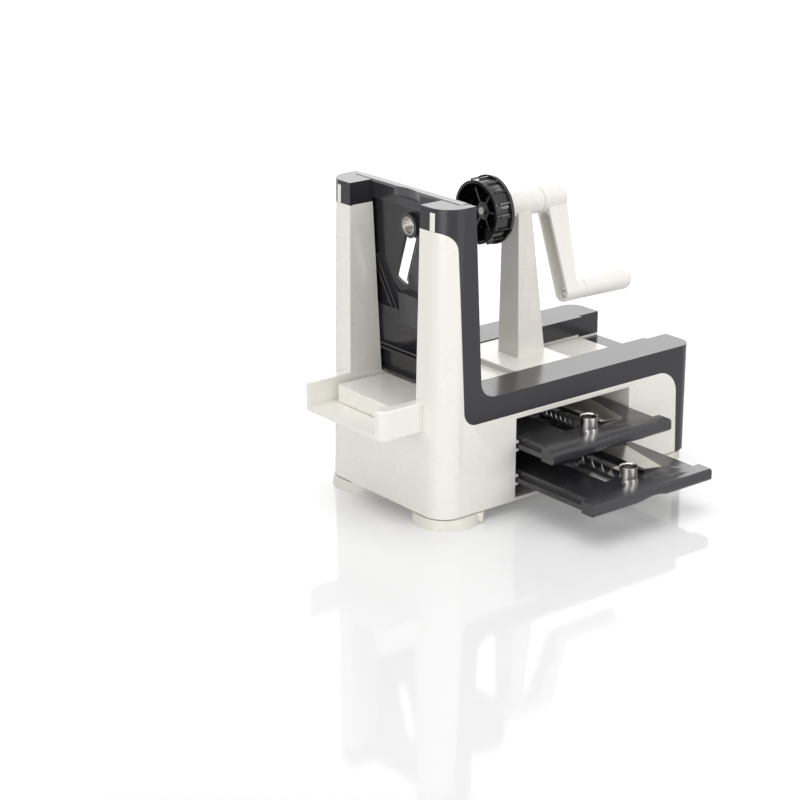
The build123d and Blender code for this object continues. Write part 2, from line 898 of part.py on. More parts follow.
def column_section(z, inset):
    """The column's level section at height z, drawn in by inset at the sides and rear."""
    side = column_half(z) - inset
    rear = column_rear_at(z) - inset
    front = column_front - (0 if inset == 0 else wall)
    corner = column_corner_radius - inset / 2
    return Pos(0, 0, z) * outline((front, -side, 0), (rear, -side, corner),
                                  (rear, side, corner), (front, side, 0))


def crank_column():
    """Column with its foot plate and the barrel that carries the spindle."""
    side = tongue_half_width
    plate = upward(outline((foot_plate_front, -side, foot_plate_radius), (tongue_rear, -side, 0),
                           (tongue_rear, side, 0), (foot_plate_front, side, foot_plate_radius)),
                   tongue_top, foot_plate_top)
    rims = plate.edges().group_by(Axis.Z)[-1]
    plate = fillet(rims, edge_rounding / 2)
    low = tongue_top + foot_plate_thickness / 2
    high = spindle_height
    column = loft([column_section(low, 0).face(), column_section(high, 0).face()])
    hollow = loft([column_section(foot_plate_top, column_wall).face(),
                   column_section(high, column_wall).face()])
    barrel = rod(barrel_radius, barrel_front, barrel_rear)
    shape = plate + (column - hollow) + barrel
    ribs = []
    for height in column_rib_heights:
        slab = column_section(low + height, 0).face()
        ribs.append(extrude(slab, rib_thickness) & block(
            column_front + column_rib_set_back, reach, -reach, reach, 0, reach))
    shape += ribs
    shape -= rod(shaft_radius + wall / 4, 0, reach)
    for x in (barrel_front, barrel_rear - bush_length):
        shape -= rod(bush_radius + bush_fit, x, x + bush_length)
    for x in (barrel_front, barrel_rear - bush_flange):
        shape -= rod(bush_radius + bush_flange_rim + bush_fit, x, x + bush_flange)
    for x, y in column_screw_places():
        shape -= upright(screw_radius + fit_clearance / 2, x, y, tongue_top,
                         foot_plate_top - foot_plate_skin)
    return shape


def bush(x_low, flange_low):
    """Flanged plain bush, sunk flush into one end of the barrel."""
    body = rod(bush_radius, x_low, x_low + bush_length)
    flange = rod(bush_radius + bush_flange_rim, flange_low, flange_low + bush_flange)
    return body + flange - rod(shaft_radius + running_clearance, 0, reach)


# ---------------------------------------------------------------- spindle, crank and holder

def flatted_rod(radius, x_low, x_high):
    """A round bar along X with one flat on top, to drive what is pushed on it."""
    flat = block(x_low, x_high, -radius, radius, spindle_height + radius - flat_depth,
                 spindle_height + 2 * radius)
    return rod(radius, x_low, x_high) - flat


def spindle_shaft():
    """Steel spindle, flatted where the holder and the crank's hub are pushed on."""
    shaft = rod(shaft_radius, barrel_front, barrel_rear)
    shaft += flatted_rod(shaft_radius, shaft_front, barrel_front)
    shaft += flatted_rod(shaft_radius, barrel_rear, shaft_rear)
    return shaft - rod(screw_radius + bush_fit, shaft_front, shaft_front + screw_length)


def crank_turned(shape):
    """Swing a shape that hangs straight down from the spindle to the crank's rest position."""
    about = Pos(0, 0, spindle_height) * Rot(-crank_lean, 0, 0) * Pos(0, 0, -spindle_height)
    return about * shape


def stadium(radius, z_high, z_low):
    """A round-ended bar outline that hangs below the spindle, extruded along X."""
    middle = (z_high + z_low) / 2
    face = Pos(0, middle) * SlotCenterToCenter(z_high - z_low, 2 * radius, rotation=90)
    return extrude(Plane.YZ * face, reach)


def crank_profile(grow):
    """The crank arm in side view, moved in from its rear face by grow."""
    low = spindle_height - crank_radius
    slope = (hub_rear - arm_rear_at_grip) / crank_radius
    below = low - 2 * crank_half_width
    above = spindle_height + 2 * crank_half_width
    rear_low = arm_rear_at_grip - 2 * crank_half_width * slope - grow
    return Polygon((arm_front - grow, below), (rear_low, below), (hub_rear - grow, spindle_height),
                   (hub_rear - grow, above), (arm_front - grow, above), align=None)


def crank_arm():
    """Crank: closed hub, arm hollowed from its front, and a round boss for the grip."""
    low = spindle_height - crank_radius
    arm = across(crank_profile(0), -crank_half_width, crank_half_width)
    arm = arm & stadium(crank_half_width, spindle_height, low)
    boss = rod(grip_boss_radius, arm_front, grip_front - side_clearance, 0, low)
    inner = crank_half_width - crank_wall
    hollow = across(crank_profile(crank_wall), -inner, inner)
    hollow = hollow & stadium(inner, spindle_height - hub_radius - inner, low)
    hub = rod(hub_radius, hub_front, hub_rear)
    rear_rim = hub.edges().filter_by(GeomType.CIRCLE).sort_by(Axis.X)[-1]
    hub = fillet(rear_rim, hub_radius / 3)
    shape = crank_turned((arm + boss) - hollow) + hub
    shape -= flatted_rod(shaft_radius + bush_fit, hub_front, shaft_rear)
    return shape - crank_turned(rod(grip_pin_radius + running_clearance, 0, reach, 0, low))


def crank_grip():
    """Turning grip with a split pin that snaps through the arm's rear wall."""
    grip_rear = grip_front + grip_length
    section = outline((grip_front, 0, 0), (grip_front, grip_boss_radius, 0),
                      (grip_rear - grip_radius, grip_radius, 0),
                      (grip_rear, grip_radius, grip_radius * grip_end_rounding),
                      (grip_rear, 0, 0))
    body = revolve(Plane.XZ * section, Axis.X)
    wall_face = floor_at_grip()
    tip = wall_face - side_clearance - barb_length
    pin = rod(grip_pin_radius, tip, grip_front + wall, 0, 0)
    barb = Pos(tip, 0, 0) * Rot(0, 90, 0) * Cone(
        grip_pin_radius - barb_lead_in, grip_pin_radius + barb_overhang, barb_length,
        align=(Align.CENTER, Align.CENTER, Align.MIN))
    slot = block(tip - wall, wall_face + prong_slot_run, -reach, reach,
                 -prong_slot / 2, prong_slot / 2)
    return Pos(0, grip_y, grip_z) * (body + ((pin + barb) - slot))


def floor_at_grip():
    """X of the arm's inner rear wall at the grip's axis, at its front-most point."""
    slope = (hub_rear - arm_rear_at_grip) / crank_radius
    return arm_rear_at_grip - crank_wall - (grip_pin_radius + pin_margin) * slope


def food_holder_disc():
    """Toothed food holder: flange, ribbed drum with a crown of teeth, fins, pins and hub."""
    drum_front = holder_face - holder_drum_length
    disc = rod(holder_radius, holder_face, holder_rear)
    drum = rod(holder_drum_radius, drum_front, holder_face)
    drum -= rod(holder_drum_radius - holder_wall, 0, holder_face)
    hub = rod(holder_hub_radius, holder_face - holder_hub_length, holder_rear + holder_standoff)
    shape = disc + drum + hub
    parts = []
    for index in range(holder_ribs):
        rib = block(drum_front + holder_tooth_height, holder_face, -holder_rib_width / 2,
                    holder_rib_width / 2, holder_drum_radius - holder_join,
                    holder_radius - holder_rib_relief)
        parts.append(holder_turned(rib, index * 360 / holder_ribs))
    for index in range(holder_pins):
        pin = Pos(holder_face, 0, holder_pin_circle) * Rot(0, -90, 0) * Cone(
            holder_pin_radius, holder_pin_point, holder_pin_height,
            align=(Align.CENTER, Align.CENTER, Align.MIN))
        parts.append(holder_turned(pin, index * 360 / holder_pins))
        fin = block(holder_face - holder_hub_length, holder_face, -rib_thickness / 2,
                    rib_thickness / 2, holder_hub_radius - holder_join,
                    holder_drum_radius - holder_join)
        parts.append(holder_turned(fin, (index + 0.5) * 360 / holder_pins))
    shape += parts_at_spindle(parts)
    gap = 2 * pi * holder_drum_radius / holder_teeth
    notch = Polygon((drum_front - holder_join, -gap / 2), (drum_front - holder_join, gap / 2),
                    (drum_front + holder_tooth_height, 0), align=None)
    notches = []
    for index in range(holder_teeth):
        wedge = upward(notch, holder_drum_radius - 2 * holder_wall,
                       holder_drum_radius + holder_join)
        notches.append(holder_turned(wedge, index * 360 / holder_teeth))
    shape -= parts_at_spindle(notches)
    shape -= flatted_rod(shaft_radius + bush_fit, shaft_front, reach)
    return shape - rod(screw_radius + fit_clearance, 0, reach)


def holder_turned(shape, turn):
    """Turn a shape drawn above the X axis about it."""
    return Rot(turn, 0, 0) * shape


def parts_at_spindle(parts):
    """Lift shapes drawn about the X axis up to the spindle."""
    return [Pos(0, 0, spindle_height) * part for part in parts]


def holder_screw():
    """Screw through the holder's floor into the spindle."""
    return Pos(holder_face - holder_hub_length, 0, spindle_height) * Rot(0, 90, 0) * screw(
        0, 0, 0, screw_length - wall)


def column_screws():
    """Screws from inside the tongue up into the column's foot plate."""
    level = tongue_bottom + 2 * screw_head_height
    length = foot_plate_top - screw_end_gap - level
    return [screw(x, y, level, length) for x, y in column_screw_places()]


# ---------------------------------------------------------------- writing the pieces

def save(name, shape):
    """Write one piece with the origin under the middle of the whole object."""
    solids = shape if isinstance(shape, list) else [shape]
    placed = [Pos(-origin_x, -origin_y, 0) * solid for solid in solids]
    whole = placed[0] if len(placed) == 1 else Compound(children=placed)
    export_step(whole, "parts/" + name + ".step")


os.makedirs("parts", exist_ok=True)

far = far_trim()
near = mirror(far, Plane.XZ)
save("far_side_trim", far)
save("near_side_trim", near)
save("base_housing", base_housing([far, near]))
save("rear_crossbar", rear_crossbar())
save("bottom_cover", bottom_cover())
for foot_name, (x, y, turn) in foot_places().items():
    save(foot_name, suction_foot(x, y, turn))
save("cover_screws", cover_screws())
save("carriage_tongue", carriage_tongue())
save("crank_column", crank_column())
save("front_spindle_bush", bush(barrel_front, barrel_front))
save("rear_spindle_bush", bush(barrel_rear - bush_length, barrel_rear - bush_flange))
save("column_screws", column_screws())
save("spindle_shaft", spindle_shaft())
save("crank_arm", crank_arm())
save("food_holder_disc", food_holder_disc())
save("holder_screw", holder_screw())
save("crank_grip", crank_grip())


def save_plate(prefix, place, pieces):
    """Write the pieces of one blade plate at its place."""
    for piece_name, shape in pieces.items():
        shapes = shape if isinstance(shape, list) else [shape]
        save(prefix + "_" + piece_name, [place * piece for piece in shapes])


save_plate("slicing", active_plane().location,
           {"plate_frame": slicing_frame(), "blade": slicing_blade(),
            "coring_tube": coring_tube()})
for plate_name, level, plate_reach, pitch, tooth, rise in (
        ("fine", upper_plate_level, upper_plate_reach, fine_pitch, fine_tooth, fine_rise),
        ("coarse", lower_plate_level, lower_plate_reach, coarse_pitch, coarse_tooth,
         coarse_rise)):
    save_plate(plate_name, stored_place(level, plate_reach),
               {"plate_frame": shredder_frame(rise), "comb": comb(pitch, tooth, rise),
                "blade": blade_sheet_solid(rise), "blade_screws": blade_screws(rise),
                "coring_tube": coring_tube()})
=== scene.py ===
from math import cos, radians, sin, tan

import bmesh
import bpy
from mathutils import Matrix, Vector


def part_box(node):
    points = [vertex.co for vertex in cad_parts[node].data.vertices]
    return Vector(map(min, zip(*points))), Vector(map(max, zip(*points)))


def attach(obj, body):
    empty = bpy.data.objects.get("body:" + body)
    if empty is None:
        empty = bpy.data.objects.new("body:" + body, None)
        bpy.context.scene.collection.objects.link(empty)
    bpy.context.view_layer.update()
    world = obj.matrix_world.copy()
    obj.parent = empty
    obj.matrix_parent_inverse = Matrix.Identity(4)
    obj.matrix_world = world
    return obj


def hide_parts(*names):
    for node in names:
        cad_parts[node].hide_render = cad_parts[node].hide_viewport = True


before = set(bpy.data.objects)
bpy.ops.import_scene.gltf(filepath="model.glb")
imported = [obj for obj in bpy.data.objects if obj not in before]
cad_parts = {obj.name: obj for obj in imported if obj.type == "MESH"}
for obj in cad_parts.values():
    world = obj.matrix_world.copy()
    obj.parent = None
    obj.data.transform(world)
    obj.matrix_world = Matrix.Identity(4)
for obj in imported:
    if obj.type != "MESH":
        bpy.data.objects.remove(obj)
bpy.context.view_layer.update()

scene = bpy.context.scene
scene.view_settings.view_transform = "Standard"


# Table and studio.
# A pale polished table top runs out to a plain white background. Soft lights hang overhead and
# stand at the outlet end and the near side, and a wide bright panel behind gives the gloss.

def feed(tree, target, inputs):
    """Give a node's inputs their values, or link them where another node's output is given."""
    for key, value in inputs.items():
        if isinstance(value, bpy.types.NodeSocket):
            tree.links.new(value, target.inputs[key])
        else:
            target.inputs[key].default_value = value


def node(tree, kind, inputs=None, **settings):
    """Add a shader or geometry node with its plain settings and its inputs."""
    made = tree.nodes.new(kind)
    for key, value in settings.items():
        setattr(made, key, value)
    feed(tree, made, inputs or {})
    return made


def maths(tree, operation, *terms, clamp=False):
    """The result of a math node whose terms are numbers or other nodes' outputs."""
    made = node(tree, "ShaderNodeMath", dict(enumerate(terms)), operation=operation,
                use_clamp=clamp)
    return made.outputs[0]


def new_material(name):
    """An empty node material, returned with its tree and its Principled shader."""
    material = bpy.data.materials.new(name)
    material.use_nodes = True
    tree = material.node_tree
    return material, tree, tree.nodes["Principled BSDF"]


white = (1, 1, 1, 1)
table_half = 3.0
table_colour = (0.74, 0.74, 0.745, 1)
table_roughness = 0.07
table_specular = 0.30
near_glow = 0.14
far_glow = 0.75
glow_start = 0.55
glow_end = 1.5
table_material, tree, shader = new_material("table_gloss")
light_path = node(tree, "ShaderNodeLightPath").outputs
position = node(tree, "ShaderNodeTexCoord").outputs["Object"]
distance = node(tree, "ShaderNodeVectorMath", {0: position}, operation="LENGTH")
spread = node(tree, "ShaderNodeMapRange", {
    "Value": distance.outputs["Value"], "From Min": glow_start, "From Max": glow_end,
    "To Min": near_glow, "To Max": far_glow})
glow = maths(tree, "MULTIPLY", light_path["Is Camera Ray"], spread.outputs[0])
feed(tree, shader, {
    "Base Color": table_colour, "Roughness": table_roughness,
    "Specular IOR Level": table_specular, "Emission Color": white, "Emission Strength": glow})


def new_object(name, data):
    """A new object in the scene for a mesh, a lamp or a camera."""
    made = bpy.data.objects.new(name, data)
    scene.collection.objects.link(made)
    return made


table_mesh = bpy.data.meshes.new("table_top")
corners = [(x * table_half, y * table_half, 0) for x, y in ((-1, -1), (1, -1), (1, 1), (-1, 1))]
table_mesh.from_pydata(corners, [], [(0, 1, 2, 3)])
table_mesh.materials.append(table_material)
table_top = new_object("table_top", table_mesh)

strength_as_light = 0.43
strength_as_seen = 1.0
world = bpy.data.worlds.new("studio")
scene.world = world
world.use_nodes = True
tree = world.node_tree
light_path = node(tree, "ShaderNodeLightPath").outputs
seen = maths(tree, "MAXIMUM", light_path["Is Camera Ray"], light_path["Is Glossy Ray"])
strength = node(tree, "ShaderNodeMapRange", {
    "Value": seen, "To Min": strength_as_light, "To Max": strength_as_seen})
feed(tree, tree.nodes["Background"], {"Color": white, "Strength": strength.outputs[0]})

# each lamp's place, its width and height, and its power
lamps = {"overhead": ((-0.1, 0.1, 1.6), 1.6, 1.6, 15),
         "outlet_side": ((-1.7, -0.7, 0.40), 1.1, 0.8, 11),
         "near_side_fill": ((0.5, -1.8, 0.7), 1.2, 1.0, 12),
         "panel_behind": ((1.5, 1.75, 0.85), 3.4, 1.3, 16)}
lamp_target = Vector((0, 0, 0.12))
for name, (lamp_place, width, height, power) in lamps.items():
    lamp = bpy.data.lights.new(name, "AREA")
    lamp.shape = "RECTANGLE"
    lamp.size = width
    lamp.size_y = height
    lamp.energy = power
    lit = new_object(name, lamp)
    lit.location = lamp_place
    lit.rotation_euler = (lamp_target - Vector(lamp_place)).to_track_quat("-Z", "Y").to_euler()


# Camera.
# It stands at the photograph's viewing angle: a long lens, turned from the side view towards
# the crank, and looking down a little.

camera_lens = 98.6
camera_sensor = 36.0
camera_reach = 20.0
camera_place = (-1.0912, -1.2095, 0.6454)
camera_down = 19.32
camera_turn = 38.49
camera_data = bpy.data.cameras.new("camera")
camera_data.lens = camera_lens
camera_data.sensor_width = camera_sensor
camera_data.clip_end = camera_reach
camera = new_object("camera", camera_data)
camera.location = camera_place
camera.rotation_euler = (radians(90 - camera_down), 0, radians(-camera_turn))
scene.camera = camera


# Body housing.
# One large injection moulding in cream-white ABS: posts, arms, deck, storage bay and trough.
# Its outside is polished, its edges are slightly rounded and it shows the faintest orange peel.

def node_group(name, kind, inputs, outputs):
    """A new node tree, its inputs and outputs given by their names and kinds."""
    group = bpy.data.node_groups.new(name, kind)
    for direction, sockets in (("INPUT", inputs), ("OUTPUT", outputs)):
        for label, socket_kind in sockets.items():
            group.interface.new_socket(name=label, in_out=direction,
                                       socket_type="NodeSocket" + socket_kind)
    return group


surface_outputs = {"Colour Out": "Color", "Roughness Out": "Float", "Height": "Float"}
broad_scale = 22.0
broad_detail = 3.0
grain_detail = 2.0
scratch_turn = (0.5, 0.3, 0.8)
scratch_stretch = (900.0, 22.0, 900.0)
scratch_detail = 1.0
scratch_start = 0.68
scratch_full = 0.80
# where the edges begin and finish lightening, partly as wear and partly as a painted highlight
wear_and_highlight_start = 0.52
wear_and_highlight_full = 0.62
patch_roughness = 0.05
scratch_roughness = 0.03
scratch_depth = 0.10


def moulded_group():
    """Colour, roughness and height of moulded plastic; its edges are lighter, partly wear and
    partly a painted highlight.
    """
    group = node_group("moulded_surface", "ShaderNodeTree", {
        "Colour": "Color", "Edge Colour": "Color", "Edge Amount": "Float",
        "Roughness": "Float", "Grain Scale": "Float", "Mottle": "Float"}, surface_outputs)
    given = node(group, "NodeGroupInput").outputs
    position = node(group, "ShaderNodeTexCoord").outputs["Object"]
    broad = node(group, "ShaderNodeTexNoise", {
        "Vector": position, "Scale": broad_scale, "Detail": broad_detail}).outputs["Fac"]
    grain = node(group, "ShaderNodeTexNoise", {
        "Vector": position, "Scale": given["Grain Scale"],
        "Detail": grain_detail}).outputs["Fac"]
    # fine handling scratches: a noise drawn out along one slanted direction
    slanted = node(group, "ShaderNodeMapping", {
        "Vector": position, "Rotation": scratch_turn, "Scale": scratch_stretch})
    drawn_out = node(group, "ShaderNodeTexNoise", {
        "Vector": slanted.outputs["Vector"], "Scale": 1.0, "Detail": scratch_detail})
    scratch = node(group, "ShaderNodeMapRange", {
        "Value": drawn_out.outputs["Fac"], "From Min": scratch_start,
        "From Max": scratch_full}).outputs[0]
    # lighter edges, partly wear and partly a painted highlight: raised corners of the mesh,
    # broken up by the broad noise
    corner = node(group, "ShaderNodeNewGeometry").outputs["Pointiness"]
    edge = node(group, "ShaderNodeMapRange", {
        "Value": corner, "From Min": wear_and_highlight_start, "From Max": wear_and_highlight_full}).outputs[0]
    edge_wear_and_highlight = maths(group, "MULTIPLY", edge, broad)
    edge_amount = maths(group, "MULTIPLY", edge_wear_and_highlight, given["Edge Amount"], clamp=True)
    # the plain colour, mottled a little, then lightened at the edges with wear and a painted
    # highlight
    shade = node(group, "ShaderNodeMapRange", {
        "Value": broad, "To Min": maths(group, "SUBTRACT", 1.0, given["Mottle"]),
        "To Max": maths(group, "ADD", 1.0, given["Mottle"])})
    mottled = node(group, "ShaderNodeVectorMath", {
        0: given["Colour"], "Scale": shade.outputs[0]}, operation="SCALE")
    colour = node(group, "ShaderNodeMix", {
        "Factor": edge_amount, "A": mottled.outputs[0], "B": given["Edge Colour"]},
        data_type="RGBA")
    # roughness: broad patches and scratches
    patch = maths(group, "MULTIPLY_ADD", broad, patch_roughness, -patch_roughness / 2)
    patched = maths(group, "ADD", given["Roughness"], patch)
    roughness = maths(group, "MULTIPLY_ADD", scratch, scratch_roughness, patched, clamp=True)
    height = maths(group, "MULTIPLY_ADD", scratch, -scratch_depth, grain)
    node(group, "NodeGroupOutput", {
        "Colour Out": colour.outputs["Result"], "Roughness Out": roughness, "Height": height})
    return group


moulded_surface = moulded_group()


def surfaced_material(name, group, values, relief, finish):
    """A material with a surface group's colour and roughness, and its height as relief."""
    material, tree, shader = new_material(name)
    surface = node(tree, "ShaderNodeGroup", values, node_tree=group).outputs
    feed(tree, shader, {"Base Color": surface["Colour Out"],
                        "Roughness": surface["Roughness Out"]})
    if relief:
        bump = node(tree, "ShaderNodeBump", {"Height": surface["Height"]})
        feed(tree, bump, relief)
        feed(tree, shader, {"Normal": bump.outputs["Normal"]})
    feed(tree, shader, finish)
    return material


grain_relief = {"Strength": 0.25, "Distance": 0.00002}
coat_roughness = 0.12


# the edge colour and amount give lighter edges, partly wear and partly a painted highlight
def moulded_material(name, colour, edge_colour, edge_amount, roughness, grain_scale, mottle,
                     coat):
    """Moulded plastic: the shared surface group with this piece's own values."""
    return surfaced_material(name, moulded_surface, {
        "Colour": (*colour, 1), "Edge Colour": (*edge_colour, 1), "Edge Amount": edge_amount,
        "Roughness": roughness, "Grain Scale": grain_scale, "Mottle": mottle},
        grain_relief, {"Coat Weight": coat, "Coat Roughness": coat_roughness})


def plain_mesh(piece):
    """Turn a piece's live modifiers into its plain mesh."""
    graph = bpy.context.evaluated_depsgraph_get()
    done = bpy.data.meshes.new_from_object(piece.evaluated_get(graph))
    piece.modifiers.clear()
    piece.data = done
    return piece


merge_distance = 2e-6
flat_join_angle = radians(0.4)
sharp_angle = radians(32.0)
flat_angle = radians(24.0)


def eased(piece, edge_width, segments=2, miter="MITER_SHARP", **joining):
    """Join a piece's flat neighbours into whole faces and round its sharp edges."""
    shape = bmesh.new()
    shape.from_mesh(piece.data)
    bmesh.ops.remove_doubles(shape, verts=shape.verts, dist=merge_distance)
    bmesh.ops.dissolve_limit(shape, angle_limit=flat_join_angle, verts=shape.verts,
                             edges=shape.edges, **joining)
    shape.to_mesh(piece.data)
    shape.free()
    easing = piece.modifiers.new("easing", "BEVEL")
    easing.width = edge_width
    easing.segments = segments
    easing.limit_method = "ANGLE"
    easing.angle_limit = sharp_angle
    easing.miter_outer = miter
    easing.harden_normals = True
    piece.data.shade_smooth()
    piece.data.set_sharp_from_angle(angle=flat_angle)
    return plain_mesh(piece)


def eased_copy(node_name, edge_width):
    """A copy of a CAD piece with its sharp edges rounded by edge_width."""
    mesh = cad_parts[node_name].data.copy()
    mesh.materials.clear()
    piece = new_object(node_name + "_moulded", mesh)
    return eased(piece, edge_width, miter="MITER_ARC", delimit={"NORMAL"})


def dress(piece, body, slot_name, material, *nodes):
    """Give a finished piece its material and its CAD body, and hide the nodes it stands for;
    slot_name is not used.
    """
    piece.data.materials.clear()
    piece.data.materials.append(material)
    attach(piece, body)
    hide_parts(*nodes)


housing_edge = 0.0005
cream_plastic = moulded_material(
    "cream_plastic", colour=(0.85, 0.832, 0.775), edge_colour=(0.88, 0.87, 0.83),
    edge_amount=0.04, roughness=0.27, grain_scale=1400.0, mottle=0.006, coat=0.25)
for node_name, body in (("base_housing", "base"), ("bottom_cover", "base"),
                        ("carriage_tongue", "carriage"),
                        ("crank_arm", "crank"), ("crank_grip", "grip")):
    piece = eased_copy(node_name, housing_edge)
    dress(piece, body, "body", cream_plastic, node_name)


# Crank column.
# A tapered cream moulding that stands on its foot plate and carries the spindle's barrel. Its
# side towards the upright plate is one plain closed wall with softly rounded edges.

def finished(name, shape):
    """Keep an edited mesh as a new object in the scene."""
    mesh = bpy.data.meshes.new(name)
    shape.to_mesh(mesh)
    shape.free()
    return new_object(name, mesh)


def solid_from(name, corners, faces):
    """A plain closed solid from its corners, its faces turned outwards."""
    shape = bmesh.new()
    points = [shape.verts.new(corner) for corner in corners]
    for face in faces:
        shape.faces.new([points[index] for index in face])
    bmesh.ops.recalc_face_normals(shape, faces=shape.faces)
    return finished(name, shape)


box_faces = ((0, 1, 2, 3), (4, 5, 6, 7), (0, 1, 5, 4), (1, 2, 6, 5), (2, 3, 7, 6), (3, 0, 4, 7))


def merged_copy(node_name):
    """A closed copy of a CAD piece, ready to be joined with or cut by other solids."""
    shape = bmesh.new()
    shape.from_mesh(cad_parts[node_name].data)
    bmesh.ops.remove_doubles(shape, verts=shape.verts, dist=merge_distance)
    piece = finished(node_name + "_moulded", shape)
    piece.data.materials.clear()
    return piece


def shaped(piece, added=(), cut=()):
    """Join solids to a piece and cut others out of it, and leave one plain mesh."""
    for operation, solids in (("UNION", added), ("DIFFERENCE", cut)):
        for solid in solids:
            step = piece.modifiers.new("step", "BOOLEAN")
            step.operation = operation
            step.solver = "EXACT"
            step.object = solid
            plain_mesh(piece)
            bpy.data.objects.remove(solid)
    return piece


column_front = 0.0154
column_wall = 0.003
column_foot_half_width = 0.0110
column_taper = tan(radians(1.25))
column_foot = 0.0975
column_head = 0.2190
column_edge = 0.0006
column_edge_steps = 3
column_middle = sum(corner[1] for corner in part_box("crank_column")) / 2
corners = []
for z in (column_foot, column_head):
    half = column_foot_half_width - (z - column_foot) * column_taper
    for x, y in ((column_front, -half), (column_front + column_wall, -half),
                 (column_front + column_wall, half), (column_front, half)):
        corners.append((x, column_middle + y, z))
front_wall = solid_from("column_front_wall", corners, box_faces)
piece = shaped(merged_copy("crank_column"), added=[front_wall])
dress(eased(piece, column_edge, column_edge_steps), "carriage", "body", cream_plastic,
      "crank_column")


# Dark trim.
# Caps, side bands, arm covers and rear legs are charcoal mouldings pressed on the housing,
# in satin ABS with a fine spark texture; their edges are lighter, partly wear and partly a
# painted highlight.

# the lighter edge colour is partly wear and partly a painted highlight
charcoal_plastic = moulded_material(
    "charcoal_plastic", colour=(0.021, 0.020, 0.024), edge_colour=(0.10, 0.10, 0.105),
    edge_amount=0.12, roughness=0.24, grain_scale=2600.0, mottle=0.04, coat=0.15)
for node_name in ("near_side_trim", "far_side_trim", "rear_crossbar"):
    piece = eased_copy(node_name, housing_edge)
    dress(piece, "base", "trim", charcoal_plastic, node_name)


# Blade plates.
# Each plate is a charcoal moulding with a lip to pull it by, rails, a thin panel and ribs behind
# it. It carries a steel blade, on two of them a comb, and the coring tube.

plate_plastic = moulded_material(
    "plate_plastic", colour=(0.022, 0.021, 0.025), edge_colour=(0.09, 0.09, 0.095),
    edge_amount=0.12, roughness=0.26, grain_scale=2600.0, mottle=0.04, coat=0.45)
millimetre = 0.001
plate_edge = 0.0004
storage_middle = sum(corner[0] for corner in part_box("fine_plate_frame")) / 2
lip_edge = {plate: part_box(plate + "_plate_frame")[0] for plate in ("fine", "coarse")}
# sizes on a stored plate, in millimetres: across it, away from its lip, and up
cover_half_width = 55.7
cover_low = 7.4
cover_high = (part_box("fine_plate_frame")[1][2] - lip_edge["fine"][2]) / millimetre
cover_run = (13.0, 154.2)
comb_opening = ((-21.0, 32.0), (-4.6, 80.0))
blade_opening = ((3.5, 30.0), (13.6, 80.0))
cut_reach = 1
panel_face = 7.5
blade_sheet = 0.8
blade_rise = {"fine": 3.6, "coarse": 5.2}
blade_run = (27.0, 80.0)
blade_edge_u = 12.0
ground_width = 3.6
blade_back_u = (34.4, 45.8)
blade_rows = 9
seat_clearance = 0.1
tube_place_v = 28.5
tube_collar_radius = 7.2
round_sides = 48


def stored_frame(plate):
    """The frame of a stored plate: across, away from its lip, and up to its cutting face."""
    corner = lip_edge[plate]
    return Matrix.Translation((storage_middle, corner[1], corner[2])) @ Matrix.Scale(
        millimetre, 4)


def block_solid(name, low, high, place):
    """A block between two corners, given in the frame that place describes."""
    corners = [place @ Vector((x, y, z)) for z in (low[2], high[2])
               for x, y in ((low[0], low[1]), (high[0], low[1]), (high[0], high[1]),
                            (low[0], high[1]))]
    return solid_from(name, corners, box_faces)


def round_solid(name, radius, centre, low, high, place):
    """An upright round bar in the frame that place describes."""
    shape = bmesh.new()
    bmesh.ops.create_cone(shape, cap_ends=True, segments=round_sides, radius1=radius,
                          radius2=radius, depth=high - low)
    bmesh.ops.translate(shape, verts=shape.verts, vec=(*centre, (low + high) / 2))
    bmesh.ops.transform(shape, matrix=place, verts=shape.verts)
    return finished(name, shape)


def section_solid(name, sections, place):
    """A closed solid through a run of equal sections, each a ring of points."""
    shape = bmesh.new()
    rings = [[shape.verts.new(place @ Vector(point)) for point in ring] for ring in sections]
    for ring, after in zip(rings, rings[1:]):
        for index in range(len(ring)):
            shape.faces.new((ring[index - 1], ring[index], after[index], after[index - 1]))
    shape.faces.new(rings[0])
    shape.faces.new(rings[-1])
    bmesh.ops.recalc_face_normals(shape, faces=shape.faces)
    return finished(name, shape)


def blade_lines(plate):
    """Along a raised blade: each section's place, back edge, lift, ground line and its lift."""
    for index in range(blade_rows):
        share = index / (blade_rows - 1)
        v = blade_run[0] + share * (blade_run[1] - blade_run[0])
        back = blade_back_u[0] + share * (blade_back_u[1] - blade_back_u[0])
        lift = panel_face + blade_rise[plate] - cover_high
        slope = lift / (back - blade_edge_u)
        yield v, back, lift, blade_edge_u + ground_width, lift - slope * ground_width


def seat_solid(plate, place):
    """The moulded wedge that a raised blade lies on."""
    seat_high = cover_high - seat_clearance
    rings = []
    for v, back, _, ground, ground_lift in blade_lines(plate):
        rings.append(((ground, v, cover_low), (back, v, cover_low), (back, v, seat_high),
                      (ground, v, cover_high + ground_lift - seat_clearance)))
    return section_solid("seat", rings, place)


for plate in ("fine", "coarse"):
    node_name = plate + "_plate_frame"
    place = stored_frame(plate)
    cover = block_solid("cover", (-cover_half_width, cover_run[0], cover_low),
                        (cover_half_width, cover_run[1], cover_high), place)
    hole_low = cover_low - cut_reach
    hole_high = cover_high + cut_reach
    holes = [block_solid("hole", (*low, hole_low), (*high, hole_high), place)
             for low, high in (comb_opening, blade_opening)]
    holes.append(round_solid("tube_hole", tube_collar_radius, (0, tube_place_v), hole_low,
                             hole_high, place))
    cover = shaped(cover, cut=holes)
    seat = seat_solid(plate, place)
    piece = eased(shaped(merged_copy(node_name), added=[cover, seat]), plate_edge)
    dress(piece, plate + "_plate", "trim", plate_plastic, node_name)


# Slicing plate's frame.
# The same moulding, standing in the posts. Its outlet side shows two long slanted ribs, a raised
# band under them and a small open pocket at the end of the blade.

